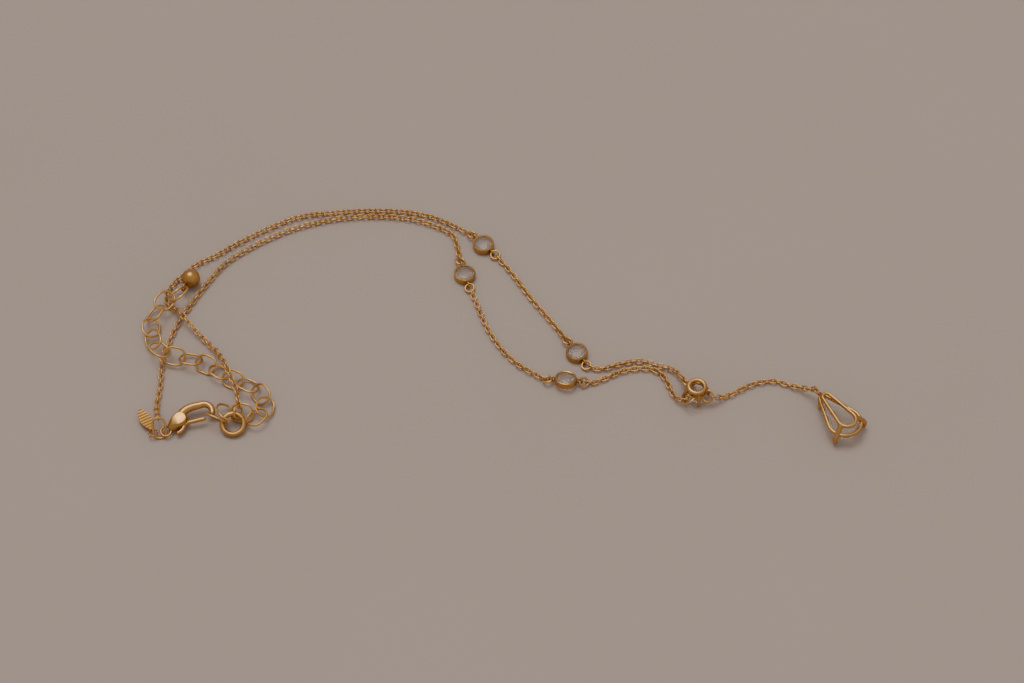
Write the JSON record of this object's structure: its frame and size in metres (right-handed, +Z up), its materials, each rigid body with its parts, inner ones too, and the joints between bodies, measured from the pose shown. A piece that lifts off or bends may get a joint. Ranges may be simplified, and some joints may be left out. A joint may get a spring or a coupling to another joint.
{
  "type": "y necklace",
  "caption": "Fine cable chain Y necklace with round stone stations, a claw-set centre stone, a pear stone drop, a lobster clasp and an extender with a ball end",
  "frame": {"origin": "middle of the lying necklace, on the surface that it lies on", "axes": "+X from the clasp end to the pear drop, +Y from the near edge to the far edge of the laid out chain, +Z up from the surface"},
  "size_m": [0.1565, 0.0648, 0.0051],
  "materials": {
    "gold_chain": "polished gold plating",
    "gold_wire": "polished gold plating",
    "gold_setting": "polished gold plating",
    "gold_fitting": "polished gold plating",
    "clear_stone": "clear faceted stone"
  },
  "bodies": {
    "necklace": {"chain_outer_back": "gold_chain", "chain_outer_middle": "gold_chain", "chain_outer_front": "gold_chain", "chain_inner_back": "gold_chain", "chain_inner_middle": "gold_chain", "chain_inner_front": "gold_chain", "drop_chain": "gold_chain", "station_1": "gold_setting", "station_2": "gold_setting", "station_3": "gold_setting", "station_4": "gold_setting", "station_stone_1": "clear_stone", "station_stone_2": "clear_stone", "station_stone_3": "clear_stone", "station_stone_4": "clear_stone", "station_ring_1": "gold_wire", "station_ring_2": "gold_wire", "station_ring_3": "gold_wire", "station_ring_4": "gold_wire", "station_ring_5": "gold_wire", "station_ring_6": "gold_wire", "station_ring_7": "gold_wire", "station_ring_8": "gold_wire", "centre_setting": "gold_setting", "centre_stone": "clear_stone", "centre_ring_outer": "gold_wire", "centre_ring_inner": "gold_wire", "centre_ring_drop": "gold_wire", "drop_setting": "gold_setting", "drop_stone": "clear_stone", "clasp_body": "gold_fitting", "clasp_ring": "gold_wire", "clasp_tag": "gold_fitting", "extender_chain": "gold_wire", "end_ball": "gold_fitting", "ball_ring": "gold_wire", "end_ring": "gold_fitting", "end_ring_link": "gold_wire"},
    "lever": {"clasp_lever": "gold_fitting"}
  },
  "joints": [
    {"name": "clasp_lever_hinge", "type": "hinge", "parent": "necklace", "child": "lever", "pos_m": [-0.0668, -0.02697, 0.0016], "axis": [-0.0231, -0.1719, 0.9848], "range_deg": [0, 25], "stiffness_Nm_per_rad": 0.0002, "springref_deg": -34.38}
  ]
}
